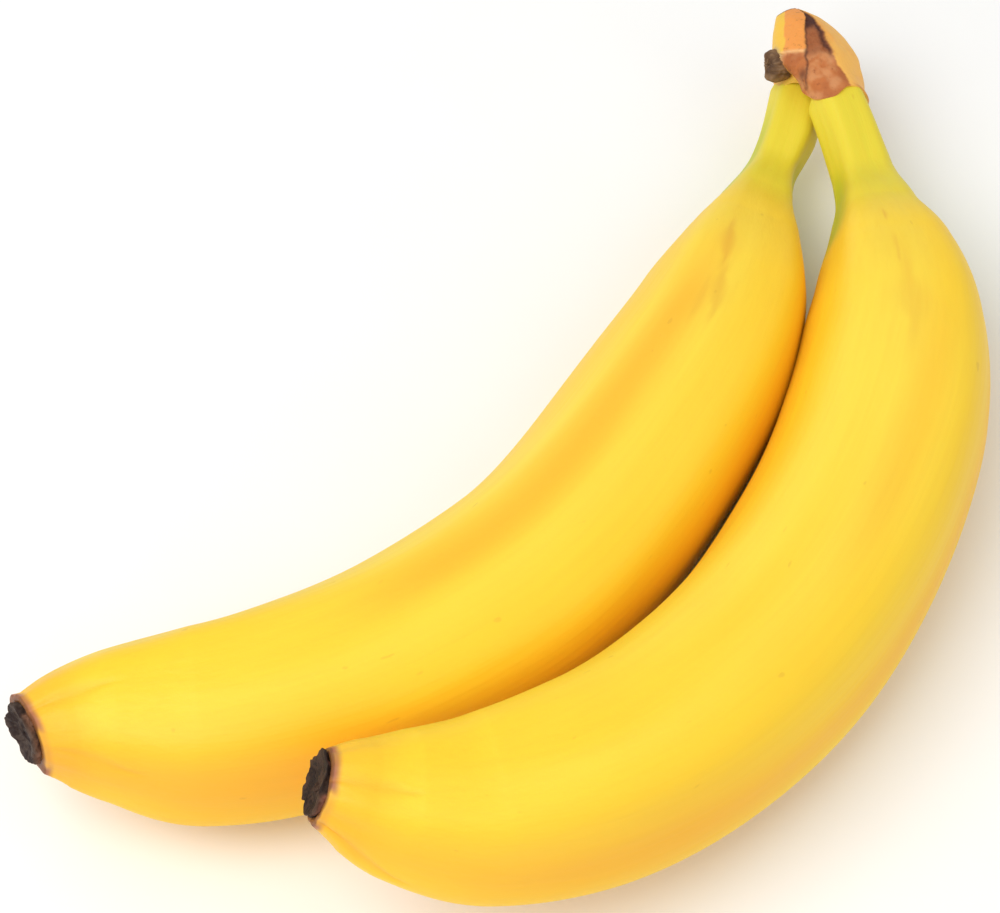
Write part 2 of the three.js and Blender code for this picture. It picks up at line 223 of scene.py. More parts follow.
def plain_skin(finger, rings=44, sides=30):
    """The solid's own surface: five even soft ridges round each section."""
    share = np.linspace(0, 1, rings + 1)[:, None] * np.ones(sides)
    angle = np.linspace(0, 2 * np.pi, sides, endpoint=False) * np.ones_like(share)
    ridge = np.cos(RIDGES * (angle - np.radians(finger["ridge"])))
    radius = (radius_at(finger, share) * (1 + RIDGE_HEIGHT * ridge))[..., None]
    centre, _, side, up = section(finger, share)
    return centre + radius * (np.cos(angle)[..., None] * side + np.sin(angle)[..., None] * up)


def put_in_frame(finger):
    """Moves a laid finger to its node: its middle by the two boxes, and its belly pressed
    into the table as the solid's is."""
    skin = plain_skin(finger).reshape(-1, 3)
    low, high = (np.array(corner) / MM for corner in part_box(finger["node"]))
    shift = (low + high) / 2 - (skin.min(0) + skin.max(0)) / 2
    shift[2] = -skin[:, 2].min() - PRESS
    finger["line"] = finger["line"] + shift
    off = (skin.max(0) - skin.min(0)) - (high - low)
    print(finger["node"], "start", finger["line"][0].round(2), "box differs by", off[:2].round(2), "mm")


for finger in (RIGHT, LEFT):
    lay(finger)
    put_in_frame(finger)

# %% [markdown]
# ## Grids into meshes
#
# Every piece here is a tube-like grid: rows from one end to the other, columns round it,
# and a single point that closes each end. One function turns such a grid into a mesh,
# checks by its volume that the faces point out, and keeps any values that the finish
# needs as attributes on the points.


# %% Grid to mesh, and soft unevenness
def mesh_from_grid(name, grid, values=None):
    """A closed mesh from rows x columns of points, in millimetres. Each end row is joined
    to its own middle point. Values are rows x columns, or rows x columns x 3."""
    rows, cols = grid.shape[:2]
    poles = np.stack([grid[0].mean(0), grid[-1].mean(0)])
    points = np.concatenate([grid.reshape(-1, 3), poles])
    row = np.arange(rows - 1)[:, None] * cols
    col = np.arange(cols)
    right = (col + 1) % cols
    quads = np.stack([row + col, row + cols + col, row + cols + right, row + right], axis=-1)
    quads = quads.reshape(-1, 4)
    last = (rows - 1) * cols
    first_fan = np.stack([np.full(cols, rows * cols), col, right], axis=-1)
    last_fan = np.stack([np.full(cols, rows * cols + 1), last + right, last + col], axis=-1)
    corners = np.concatenate([quads[:, [0, 1, 2]], quads[:, [0, 2, 3]], first_fan, last_fan])
    a, b, c = (points[corners[:, k]] for k in range(3))
    volume = np.einsum("ij,ij->i", a, np.cross(b, c)).sum() / 6
    if volume < 0:
        quads, first_fan, last_fan = quads[:, ::-1], first_fan[:, ::-1], last_fan[:, ::-1]
    loops = np.concatenate([quads.ravel(), first_fan.ravel(), last_fan.ravel()])
    sizes = np.concatenate([np.full(len(quads), 4), np.full(2 * cols, 3)])

    mesh = bpy.data.meshes.new(name)
    mesh.vertices.add(len(points))
    mesh.vertices.foreach_set("co", (points * MM).ravel())
    mesh.loops.add(len(loops))
    mesh.loops.foreach_set("vertex_index", loops)
    mesh.polygons.add(len(sizes))
    mesh.polygons.foreach_set("loop_start", np.concatenate([[0], np.cumsum(sizes)[:-1]]))
    mesh.polygons.foreach_set("use_smooth", np.ones(len(sizes), bool))
    mesh.update(calc_edges=True)
    mesh.validate()
    for key, value in (values or {}).items():
        wide = value.ndim == 3
        flat = value.reshape(rows * cols, -1)
        ends = np.stack([value[0].reshape(cols, -1).mean(0), value[-1].reshape(cols, -1).mean(0)])
        layer = mesh.attributes.new(key, "FLOAT_VECTOR" if wide else "FLOAT", "POINT")
        layer.data.foreach_set("vector" if wide else "value", np.concatenate([flat, ends]).ravel())
    piece = bpy.data.objects.new(name, mesh)
    bpy.context.scene.collection.objects.link(piece)
    print(f"{name}: {len(points)} points, {abs(volume) / 1000:.1f} cm3")
    return piece


def waves(points, size, seed, count=24):
    """Soft unevenness of about -1 to 1: a sum of cosines that run in seeded directions,
    with wavelengths from two thirds of `size` to twice it, in the points' own units."""
    rng = np.random.default_rng(seed)
    ways = unit(rng.normal(size=(count, 3)))
    pace = 2 * np.pi / (size * np.exp(rng.uniform(np.log(0.67), np.log(2), count)))
    phase = rng.uniform(0, 2 * np.pi, count)
    total = np.cos(points @ (ways * pace[:, None]).T + phase).sum(-1)
    return total / math.sqrt(count) / 1.4


# %% [markdown]
# ## The peel
#
# A banana's section isn't round. Five ridges run the whole length, sharp at the neck and
# the tip and soft over the belly, with flatter faces between them. The faces are a little
# uneven, the skin gathers into short folds round the blossom end, and the belly is
# pressed flat where it rests.
#
# Each of these is a small function of the share of the length and the angle round the
# section, in millimetres of relief or as a strength from 0 to 1.

# %% Ridges, folds and strokes
RIDGE_PROFILE = [[0, 0.05], [0.06, 0.06], [0.12, 0.062], [0.22, 0.046], [0.4, 0.032],
                 [0.6, 0.032], [0.8, 0.036], [0.92, 0.045], [1, 0.03]]
RIDGE_SHARPNESS = 1.5
RIDGE_WANDER = 0.05
WANDER_TURNS = 1.3
# A stroke's ends: share of its width left there, and millimetres a share past them counts.
STROKE_END = 0.35
PAST_END_MM = 200
# Folds: how many round the section, depth in millimetres, reach as a share of the length.
TIP_FOLDS = ((5, 0.08, 0.10), (7, 0.10, 0.07), (11, 0.09, 0.045), (17, 0.06, 0.03))


def crest(finger, share, angle):
    """1 on the line of a ridge and 0 in the middle of a face: a raised cosine, sharpened.
    The ridges wander a little along the finger."""
    wander = RIDGE_WANDER * np.sin(2 * np.pi * WANDER_TURNS * share + finger["heading"])
    wave = np.cos(RIDGES * (angle - np.radians(finger["ridge"]) - wander))
    return ((1 + wave) / 2) ** RIDGE_SHARPNESS


def tip_folds(share, angle, seed):
    """Short folds that run up from the blossom end and die out, in millimetres: cosines
    round the section with seeded phases, strongest at the tip."""
    rng = np.random.default_rng(seed)
    total = np.zeros_like(share)
    for count, depth, reach in TIP_FOLDS:
        fade = np.exp(-((1 - share) / reach) ** 2)
        total += depth * fade * np.cos(count * angle + rng.uniform(0, 2 * np.pi))
    return total


def soft_line(share, angle, start, end, start_angle, end_angle, width, wide_mm):
    """A stroke laid on the peel, 1 along its middle: it runs from one share and angle to
    another, `width` millimetres to its soft edge, tapering at both ends."""
    run = np.clip((share - start) / (end - start), 0, 1)
    middle = np.radians(start_angle + (end_angle - start_angle) * run)
    off = np.angle(np.exp(1j * (angle - middle))) * wide_mm
    past = (np.minimum(share - start, 0) + np.maximum(share - end, 0)) * PAST_END_MM
    taper = STROKE_END + (1 - STROKE_END) * np.sin(np.pi * run)
    return np.exp(-(off / (width * taper)) ** 2 - (past / (2 * width)) ** 2)


full_girth = [round(high * RIGHT["girth"], 1) for _, high in RIDGE_PROFILE]
print("ridges would stand", full_girth, "mm high at full girth")

# %% [markdown]
# The skin itself is one grid: share of the length by angle round the section. The rings
# crowd towards both ends. The neck runs on a few millimetres inside the crown, so no gap
# shows there. At the tip a last few rings roll in as a soft lip round the blossom end, and
# they lean over so that the tip's face has its slant.
#
# Where the fingers lie together their skins press flat on each other, and the left neck is
# webbed to the right one. So each side of a finger has a short list of how far it is
# filled out.

# %% Peel surface
PEEL_RINGS = 440
PEEL_SIDES = 190
NECK_RINGS = 5
NECK_INTO_CROWN = 3.5
NECK_END_SHRINK = 0.3
CROWDING = 0.075
RIDGE_LEVEL = 0.56
REST_SOFTNESS = 0.12
SLANT_FROM = 0.93
# The lip round the blossom end: millimetres past the tip, share of the radius there.
TIP_LIP = ((0.16, 0.975), (0.28, 0.93), (0.3, 0.87), (0.16, 0.8), (-0.5, 0.7))


def peel(finger, seed, hollow_side, outer_side, folds=(), strokes=()):
    """One finger's skin. Returns its mesh piece, with the values its finish reads. The two
    side lists are rows of [share, millimetres] that each side is filled out by, to ease
    the neck into the shoulder and to press the fingers together."""
    even = np.linspace(0, 1, PEEL_RINGS)
    share = even - CROWDING * np.sin(2 * np.pi * even)
    into = np.linspace(-NECK_INTO_CROWN, 0, NECK_RINGS, endpoint=False) / finger["length"]
    lip, lip_reach = np.array(TIP_LIP).T
    share = np.concatenate([into, share, 1 + lip / finger["length"]])
    share = share[:, None] * np.ones(PEEL_SIDES)
    fit = 1 - NECK_END_SHRINK * ramp(0, NECK_INTO_CROWN, -share * finger["length"])
    fit[-len(lip):] *= lip_reach[:, None]
    angle = np.linspace(0, 2 * np.pi, PEEL_SIDES, endpoint=False) * np.ones_like(share)
    inside = np.clip(share, 0, 1)

    slant = np.tan(np.radians(finger["slant"])) * ramp(SLANT_FROM, 1.0, inside)
    lean = slant * fit * finger["tip"] / 2 * np.cos(angle)
    mean = radius_at(finger, np.clip(share + lean / finger["length"], 0, 1)) * fit
    across, upward = mean * np.cos(angle), mean * np.sin(angle)
    straight = np.stack([across, upward, share * finger["length"]], axis=-1)
    ridge = crest(finger, inside, angle)
    relief = mean * 2 * smooth(RIDGE_PROFILE, inside) * (ridge - RIDGE_LEVEL)
    belly = ramp(0.08, 0.3, inside) * ramp(1.0, 0.9, inside)
    relief += belly * 0.28 * waves(straight * [1, 1, 0.45], 22, seed)
    relief += belly * 0.07 * waves(straight * [1, 1, 0.25], 7, seed + 1)
    relief += 0.05 * waves(straight * [1, 1, 0.12], 2.4, seed + 2) * ramp(0.2, 0.02, inside)
    relief += tip_folds(inside, angle, seed + 3)
    # The folds' lines are kept too: the finish paints orange shade along them.
    fold_shade = np.zeros_like(share)
    for depth, *stroke in folds:
        line = soft_line(inside, angle, *stroke, mean)
        relief -= depth * line
        fold_shade = np.maximum(fold_shade, line * min(depth, 1))
    relief += smooth(hollow_side, inside) * np.maximum(np.cos(angle), 0) ** 2
    relief += smooth(outer_side, inside) * np.maximum(-np.cos(angle), 0) ** 2
    relief *= ramp(-2.5, 0.5, share * finger["length"]) * fit ** 2

    centre, along, side, up = section(finger, share)
    radius = (mean + relief)[..., None]
    skin = centre + radius * (np.cos(angle)[..., None] * side + np.sin(angle)[..., None] * up)
    skin += along * lean[..., None]
    skin[..., 2] = (skin[..., 2] + np.sqrt(skin[..., 2] ** 2 + REST_SOFTNESS ** 2)) / 2

    streak = np.zeros_like(share)
    for strength, *stroke in strokes:
        streak = np.maximum(streak, strength * soft_line(inside, angle, *stroke, mean))
    values = dict(
        straight=straight * MM,
        share=share,
        angle=angle / (2 * np.pi),
        fold_shade=fold_shade,
        streak=streak,
    )
    return mesh_from_grid(finger["node"] + "_peel", skin, values)


# %% The two peels
# Folds and strokes: depth or strength, from share, to share, from angle, to angle in
# degrees, soft width in millimetres.
right_peel = peel(
    RIGHT, seed=11,
    hollow_side=[[0, 0], [0.05, -0.1], [0.08, -0.4], [0.11, -1.0], [0.14, -0.75], [0.2, -0.45],
                 [0.27, 0], [1, 0]],
    outer_side=[[0, 0], [0.04, 0.3], [0.08, 0.75], [0.11, 0], [0.14, -0.65], [0.18, -0.2], [0.25, 0.3],
                [0.4, 0.6], [0.55, 0.2], [0.7, 0], [1, 0]],
    folds=[(0.35, 0.955, 0.995, 112, 108, 1.3), (0.45, 0.94, 0.99, 196, 186, 1.0)],
    strokes=[(0.5, 0.168, 0.184, 84, 84, 0.25), (0.3, 0.2, 0.235, 86, 87, 0.3),
             (0.22, 0.25, 0.3, 92, 97, 2.8)],
)
left_peel = peel(
    LEFT, seed=47,
    hollow_side=[[0, 0], [0.05, -0.3], [0.09, 0], [1, 0]],
    outer_side=[[0, 1.7], [0.04, 1.6], [0.065, 0.5], [0.085, -0.6], [0.11, -0.9], [0.15, -0.8],
                [0.19, 0], [0.25, 0.8], [0.4, 1.5], [0.58, 1.6], [0.7, 0.6], [0.8, 0], [1, 0]],
    folds=[(0.3, 0.95, 0.99, 88, 92, 1.2), (0.25, 0.93, 0.985, 160, 150, 1.2)],
    strokes=[(0.4, 0.232, 0.266, 84, 89, 1.3), (0.32, 0.285, 0.325, 92, 98, 1.4),
             (0.2, 0.3, 0.34, 86, 88, 0.8)],
)

# %% [markdown]
# ## The crown
#
# The crown is what is left of the cluster's stalk: a stubby block, wide where the two
# necks leave it and narrow at the cut top. It is a grid of height by angle round the
# crown's own middle line, with one radius for each. High up, that radius is a rounded
# block of flat faces. At the lower edge it hugs the two necks. The lower edge is
# scalloped: each neck's skin runs up into the crown in a low arch.
#
# A strip of its skin is torn away in front, which leaves a brown scar with a dark edge.

# %% The crown's own axes
CROWN_HEIGHT = 17.5
CROWN_BEARING = 105
CROWN_PITCH = 14
CROWN_BOW = 1.3

neck_right, run_right, _, _ = section(RIGHT, 0.0)
neck_left, run_left, _, _ = section(LEFT, 0.0)
crown_foot = (neck_right + neck_left) / 2
crown_axis = direction(CROWN_BEARING, CROWN_PITCH)
between_necks = neck_right - neck_left
crown_across = unit(between_necks - (between_necks @ crown_axis) * crown_axis)
crown_through = np.cross(crown_across, crown_axis)
print("neck ends at heights", ((neck_right - crown_foot) @ crown_axis).round(1),
      ((neck_left - crown_foot) @ crown_axis).round(1), "mm on the crown's axis")


def crown_point(angle, height, radius):
    """The point at an angle round the crown, from the right neck's side towards the front,
    and a height and radius on its bowed middle line."""
    share = np.clip(height / CROWN_HEIGHT, 0, 1)
    bow = 4 * CROWN_BOW * share * (1 - share)
    out = np.cos(angle)[..., None] * crown_across + np.sin(angle)[..., None] * crown_through
    middle = crown_foot + height[..., None] * crown_axis + bow[..., None] * crown_across
    return middle + radius[..., None] * out


# %% The crown's radius
# Flat faces of the block: bearing round the crown in degrees, distance from its middle line.
CROWN_FACES = ((-62, 7.5), (-8, 7.8), (42, 7.8), (80, 7.2), (128, 7.3), (176, 8.9), (-118, 8.0))
FACE_ROUNDING = 13
CROWN_TAPER = [[0, 1.14], [0.17, 1.1], [0.32, 1.02], [0.45, 0.93], [0.6, 0.8], [0.73, 0.69],
               [0.86, 0.55], [0.96, 0.4], [1, 0.33]]
# The scalloped lower edge: bearing round the crown, height.
LOWER_EDGE = [[-44, -5.2], [-20, -4.4], [-2, -3.1], [9, -2.9], [30, -4.4], [50, -3.4],
              [66, -1.2], [90, 1.6], [125, 3.6], [165, 3.0], [205, 3.6], [238, 1.2],
              [268, -2.2], [292, -3.4], [316, -4.8]]
SLEEVE = 0.3
HUG = 5.5
NECK_BLEND = 0.25
LEAST_HALF_WIDTH = 0.2


def neck_reach(angle, height, start, run, radius):
    """Distance from the crown's middle line out to the far wall of a round neck, in each
    direction, at a height: d cos a + sqrt(r^2 - d^2 sin^2 a) for a neck d off the line."""
    back = (height - (start - crown_foot) @ crown_axis) / (run @ crown_axis)
    middle = start - crown_foot + back[..., None] * run
    x, y = middle @ crown_across, middle @ crown_through
    ahead = x * np.cos(angle) + y * np.sin(angle)
    aside = -x * np.sin(angle) + y * np.cos(angle)
    return ahead + np.sqrt(np.maximum(radius ** 2 - aside ** 2, LEAST_HALF_WIDTH ** 2))


def soft_max(a, b, softness):
    return softness * np.logaddexp(a / softness, b / softness)


def block_radius(angle, height):
    """A rounded many-sided block: the smooth least of the distances to its flat faces."""
    total = np.zeros_like(angle)
    for bearing, distance in CROWN_FACES:
        total += np.maximum(np.cos(angle - math.radians(bearing)) / distance, 1e-6) ** FACE_ROUNDING
    return smooth(CROWN_TAPER, height / CROWN_HEIGHT) * total ** (-1 / FACE_ROUNDING)


def lower_edge(angle):
    wrapped = (np.degrees(angle) + 44) % 360 - 44
    return smooth(LOWER_EDGE, wrapped)


def side_radius(angle, height):
    """The block's radius, drawn in over the last few millimetres to hug both necks."""
    edge = lower_edge(angle)
    right = neck_reach(angle, height, neck_right, run_right, RIGHT["neck"] / 2)
    left = neck_reach(angle, height, neck_left, run_left, LEFT["neck"] / 2)
    necks = soft_max(right, left, NECK_BLEND) + SLEEVE
    share = ramp(0, HUG, height - edge)
    return necks * (1 - share) + block_radius(angle, height) * share


# %% [markdown]
# The marks on the crown are soft shapes in its own height and angle. A strip of skin was
# torn off in front: it starts as a dark wedge at the cut top and forks round a brown
# patch into two dark lines, with raw tan flesh below, down to the necks. Left of it a
# flat orange face ends in a low pale ridge. The same shapes drive both the relief and
# the colours, so the two always agree.

# %% Marks on the crown
# Edges in degrees round the crown, at heights in millimetres.
TORN_RIGHT = [[-5, 8], [-2, 7], [0, 10], [2, 14], [5, 17], [7.5, 18], [9.8, 17],
              [13.4, 10], [16.5, 2]]
TORN_LEFT = [[-2, 60], [0, 58], [5.7, 50], [10.5, 40], [14, 24], [17, 13]]
TAN_LEFT = [[6, 88], [9, 84], [12.3, 80], [15, 72], [17.5, 62]]
# The pale ridge's height, at degrees round the crown.
PALE_RIDGE = [[30, 5.6], [52, 5.9], [64, 6.6], [83, 7.7], [110, 8.6]]
MM_PER_DEGREE = 0.13
STUB_BEARING = 117
STUB_HEIGHT = 7.4
STUB_RADIUS = 2.6


def spot(height, degrees, at_height, at_degrees, size):
    """Distance from a place on the crown, over a size: 1 on a circle of that radius."""
    return np.hypot(height - at_height, (degrees - at_degrees) * MM_PER_DEGREE) / size


def ridge_at(offset, width):
    """A soft bump: 1 where the offset is 0, falling as exp(-(offset / width)^2)."""
    return np.exp(-(offset / width) ** 2)


def crown_marks(angle, height, edge, place):
    """Every mark as a strength from 0 to 1 over the crown's side."""
    degrees = (np.degrees(angle) + 90) % 360 - 90
    ragged = 1.6 * waves(place, 2.2, 5) + 0.9 * waves(place, 0.8, 6)
    torn_right = smooth(TORN_RIGHT, height) + ragged
    torn_left = smooth(TORN_LEFT, height) + ragged
    past_tan = degrees - smooth(TAN_LEFT, height) + ragged
    past_right = ramp(-1.5, 1.5, degrees - torn_right)
    past_left = ramp(-1.5, 1.5, degrees - torn_left)
    torn = past_right * (1 - past_left)

    over_ridge = height - smooth(PALE_RIDGE, degrees)
    low = ramp(0.25, -0.25, over_ridge + 0.12 * ragged)
    scar = past_right * np.maximum(1 - past_left, low * ramp(100, 92, degrees))
    tan_face = past_left * (1 - low) * ramp(3, -3, past_tan)
    ridge_line = ridge_at(over_ridge, 0.32) * past_left * ramp(96, 88, degrees)
    sliver = ramp(-3, 3, past_tan) * ramp(5.5, 8, height)
    patch = torn * ramp(3.4, 5.6, height)

    wedge = torn * ramp(9.8, 12.2, height)
    below_wedge = ramp(15, 12, height)
    fork_right = ridge_at(degrees - torn_right - 4, 4.6) * ramp(2.2, 5.5, height) * below_wedge
    fork_left = ridge_at(degrees - torn_left, 2.2) * ramp(-2, 1, height) * below_wedge
    dark_spot = ridge_at(spot(height, degrees, 1.9, 61, 1.1), 1)
    line = np.maximum(wedge, 0.9 * fork_right)
    line = np.maximum(line, np.maximum(0.75 * fork_left, 0.7 * dark_spot))

    over_edge = height - edge
    left_foot = ramp(100, 110, degrees) * ramp(3.2, 0.4, over_edge + 0.6 * ragged)
    young = np.maximum(left_foot, ramp(-24, -44, degrees) * ramp(13, 3, height))
    hem = ramp(0.9, 0.3, over_edge) * ramp(-62, -48, degrees) * ramp(6, -6, degrees)
    near_stub = spot(height, degrees, STUB_HEIGHT, STUB_BEARING, STUB_RADIUS)
    collar = ridge_at(near_stub - 1.12, 0.16) * ramp(-2.5, 1.0, height - STUB_HEIGHT)
    return dict(scar=scar, line=line, patch=patch, tan_face=tan_face, ridge_line=ridge_line,
                hem=hem, collar=collar, young=young, sliver=sliver)


print("torn strip, degrees wide from its foot up:",
      [round(float(smooth(TORN_LEFT, high) - smooth(TORN_RIGHT, high))) for high in (0, 5, 10, 15)])

# %% [markdown]
# The crown's skin is one grid too. Its side rows run from the lower edge up to the rim.
# Below them a few rows turn in and run up to a point inside the necks, so the edge looks
# thick. Above them the rim rounds over, and the cut face is slightly dished and fibrous.

# %% Crown surface
CROWN_SIDES = 280
SIDE_ROWS = 150
CUT_ROWS = 16
# Rows under the lower edge: share of the edge's radius, rise in millimetres.
UNDER_ROWS = ((0.05, 2.5), (0.5, 1.2), (0.86, 0.25), (0.955, -0.08))
# Two rows round the rim over: share of the radius, sink in millimetres.
RIM_REACH = (0.985, 0.94)
RIM_SINK = (0.06, 0.14)
CUT_SINK = 0.1
CUT_DISH = 0.25
CUT_LOWERED = 0.15


def crown_relief(marks, edge, height, place):
    """How far the skin stands out or in, in millimetres, from soft unevenness and marks."""
    deep = ramp(1.2, 6.0, height - edge)
    raw = -0.3 + 0.15 * waves(place, 1.7, 23) + 0.08 * waves(place, 0.8, 24)
    relief = 0.13 * waves(place, 7, 21) + 0.05 * waves(place, 2.2, 22)
    relief += deep * marks["scar"] * raw
    relief += deep * (-0.22 * marks["line"] + 0.16 * marks["ridge_line"])
    relief += marks["tan_face"] * 0.04 * waves(place, 0.9, 25) + 0.3 * marks["collar"]
    relief *= ramp(0, 1.2, height - edge) * 0.9 + 0.1
    return relief + 0.06 * marks["hem"]


def crown():
    """The whole crown: under its lower edge, up its side, over the rounded rim and across
    the cut top."""
    angle_row = np.linspace(0, 2 * np.pi, CROWN_SIDES, endpoint=False)
    up = np.linspace(0, 1, SIDE_ROWS)[:, None] * np.ones(CROWN_SIDES)
    angle = angle_row * np.ones_like(up)
    edge = lower_edge(angle)
    height = edge + (CROWN_HEIGHT - edge) * up
    radius = side_radius(angle, height)
    place = crown_point(angle, height, radius)
    marks = crown_marks(angle, height, edge, place)
    radius = radius + crown_relief(marks, edge, height, place)
    side = crown_point(angle, height, radius)

    under = [crown_point(angle[0], edge[0] + rise, radius[0] * inward)
             for inward, rise in UNDER_ROWS]
    share_in = np.concatenate([RIM_REACH, np.linspace(0.86, 0.06, CUT_ROWS)])[:, None]
    cut_angle = angle_row * np.ones((len(share_in), 1))
    cut_radius = radius[-1] * share_in
    sink = np.array([*RIM_SINK] + [CUT_SINK] * CUT_ROWS)[:, None] - CUT_DISH * (1 - share_in ** 2)
    flat = [cut_radius * np.cos(cut_angle), cut_radius * np.sin(cut_angle), 0 * cut_radius]
    fibres = 0.12 * waves(np.stack(flat, axis=-1), 1.1, 26) * ramp(1.0, 0.8, share_in)
    top = crown_point(cut_angle, CROWN_HEIGHT + sink - CUT_LOWERED + fibres, cut_radius)
    grid = np.concatenate([np.stack(under), side, top])

    def whole(value, under_value=0.0, top_value=None):
        """A side value carried over all rows. The top repeats the rim's, if not given."""
        last = value[-1] if top_value is None else np.full(CROWN_SIDES, top_value)
        below = np.full((len(under), CROWN_SIDES), under_value)
        return np.concatenate([below, value, np.ones((len(share_in), 1)) * last])

    values = {name: whole(marks[name]) for name in ("scar", "line", "patch", "tan_face")}
    for name in ("ridge_line", "hem", "collar", "sliver"):
        values[name] = whole(marks[name], 0, 0)
    values["young"] = whole(marks["young"], 1, 0)
    values["cut"] = whole(ramp(17.1, 17.5, height), 0, 1)
    return mesh_from_grid("crown_block", grid, values)


crown_piece = crown()

# %% [markdown]
# ## Dried pieces
#
# The blossom ends and the stub are dead, shrivelled tissue: short lumps with a ragged
# outline, a torn rim and a sunken middle. One function makes them: a profile from the
# hidden base, out over the rim and in to the middle of the face, carried round with a
# seeded outline.

# %% Shrivelled lumps
DRY_SIDES = 150
DRY_ROWS = 64
# Half profile: share along it, radius share, height share.
BLOSSOM_OUT = [[0, 0.05], [0.1, 0.85], [0.2, 0.97], [0.34, 1.0], [0.46, 0.95], [0.56, 0.83],
               [0.75, 0.5], [1, 0.03]]
BLOSSOM_UP = [[0, -0.5], [0.1, -0.45], [0.2, 0.1], [0.34, 0.75], [0.46, 1.0], [0.56, 0.86],
              [0.75, 0.4], [1, 0.55]]
BLOSSOM_FILL = 0.8
STUB_LENGTH = 2.1
STUB_OUT = [[0, 0.05], [0.1, 0.95], [0.3, 1.0], [0.5, 1.04], [0.68, 0.93], [0.82, 0.66], [1, 0.03]]
STUB_UP = [[0, -0.75], [0.1, -0.7], [0.3, -0.1], [0.5, 0.45], [0.68, 0.82], [0.82, 1.0], [1, 0.9]]


def dried_lump(name, base, axis, across, radius, length, profile, seed, ragged, crumple,
               droop=0.0):
    """A lump on `base` that stands along `axis`. Its outline is the radius times one plus
    seeded waves round it, and its height is uneven in the same way. `droop` stretches it
    along the opposite of `across`."""
    out_rows, up_rows = profile
    t = np.linspace(0, 1, DRY_ROWS)[:, None] * np.ones(DRY_SIDES)
    angle = np.linspace(0, 2 * np.pi, DRY_SIDES, endpoint=False) * np.ones_like(t)
    out, up = smooth(out_rows, t), smooth(up_rows, t)
    ring = np.stack([np.cos(angle), np.sin(angle), 0.35 * t], axis=-1)
    torn = ramp(0.05, 0.4, t)
    outline = 1 + ragged * torn * (waves(ring, 1.6, seed) + 0.55 * waves(ring, 0.55, seed + 1))
    stretch = 1 + droop * np.maximum(-np.cos(angle), 0) ** 2
    height = length * up * (1 + 0.22 * torn * waves(ring * [1, 1, 0.3], 1.3, seed + 2))
    reach = radius * out * outline * stretch
    second = np.cross(axis, across)
    out_way = np.cos(angle)[..., None] * across + np.sin(angle)[..., None] * second
    place = base + reach[..., None] * out_way + height[..., None] * axis
    rough = torn * crumple * (waves(place, 2.4, seed + 3) + 0.7 * waves(place, 1.0, seed + 4))
    rough += torn * 0.07 * np.cos(angle * 23 + 3 * waves(ring, 1.0, seed + 5))
    outward = unit(place - (base + axis * length * 0.3))
    place = place + outward * rough[..., None]
    rim = np.exp(-((t - 0.2) / 0.13) ** 2)
    return mesh_from_grid(name, place, dict(rim=rim, rough=0.5 + rough * 2.2))


def blossom_end(finger, name, seed, length):
    """The dried flower remnant, on the slanted face of a finger's tip."""
    centre, along, side, up = section(finger, 1.0)
    slant = math.radians(finger["slant"])
    axis = along * math.cos(slant) - side * math.sin(slant)
    across = side * math.cos(slant) + along * math.sin(slant)
    radius = finger["tip"] / 2 * BLOSSOM_FILL
    return dried_lump(name, centre, axis, across, radius, length, (BLOSSOM_OUT, BLOSSOM_UP),
                      seed, ragged=0.12, crumple=0.3)


blossom_right = blossom_end(RIGHT, "blossom_right_dried", 71, length=1.3)
blossom_left = blossom_end(LEFT, "blossom_left_dried", 88, length=1.6)

stub_at = np.array([math.radians(STUB_BEARING)]), np.array([STUB_HEIGHT])
stub_base = crown_point(*stub_at, side_radius(*stub_at))[0]
stub_axis = math.cos(stub_at[0][0]) * crown_across + math.sin(stub_at[0][0]) * crown_through
stub = dried_lump("stub_dried", stub_base, stub_axis, crown_axis, STUB_RADIUS, STUB_LENGTH,
                  (STUB_OUT, STUB_UP), 131, ragged=0.06, crumple=0.14, droop=0.22)

# %% [markdown]
# ## Finishes
#
# A finish is a tree of shader nodes. Written out link by link it hides the sums in it, so
# a small class wraps a socket and turns Python arithmetic into Math nodes.


# %% Node helpers
class Value:
    """A socket that carries a number. Arithmetic on it adds Math nodes."""

    def __init__(self, tree, socket):
        self.tree = tree
        self.socket = socket

    def _math(self, operation, first, second):
        node = self.tree.nodes.new("ShaderNodeMath")
        node.operation = operation
        for place, term in zip(node.inputs, (first, second)):
            if isinstance(term, Value):
                self.tree.links.new(term.socket, place)
            else:
                place.default_value = term
        return Value(self.tree, node.outputs[0])

    def __add__(self, other):
        return self._math("ADD", self, other)

    def __radd__(self, other):
        return self._math("ADD", other, self)

    def __sub__(self, other):
        return self._math("SUBTRACT", self, other)

    def __rsub__(self, other):
        return self._math("SUBTRACT", other, self)

    def __mul__(self, other):
        return self._math("MULTIPLY", self, other)

    def __rmul__(self, other):
        return self._math("MULTIPLY", other, self)

    def least(self, other):
        return self._math("MINIMUM", self, other)

    def folded(self, other):
        """Runs up to `other` and back down to 0, over and over."""
        return self._math("PINGPONG", self, other)


def linear(colour):
    """A hex colour as the linear RGBA that a shader takes."""
    rgb = np.array([int(colour[i:i + 2], 16) for i in (1, 3, 5)]) / 255
    light = np.where(rgb <= 0.04045, rgb / 12.92, ((rgb + 0.055) / 1.055) ** 2.4)
    return (*light.tolist(), 1.0)


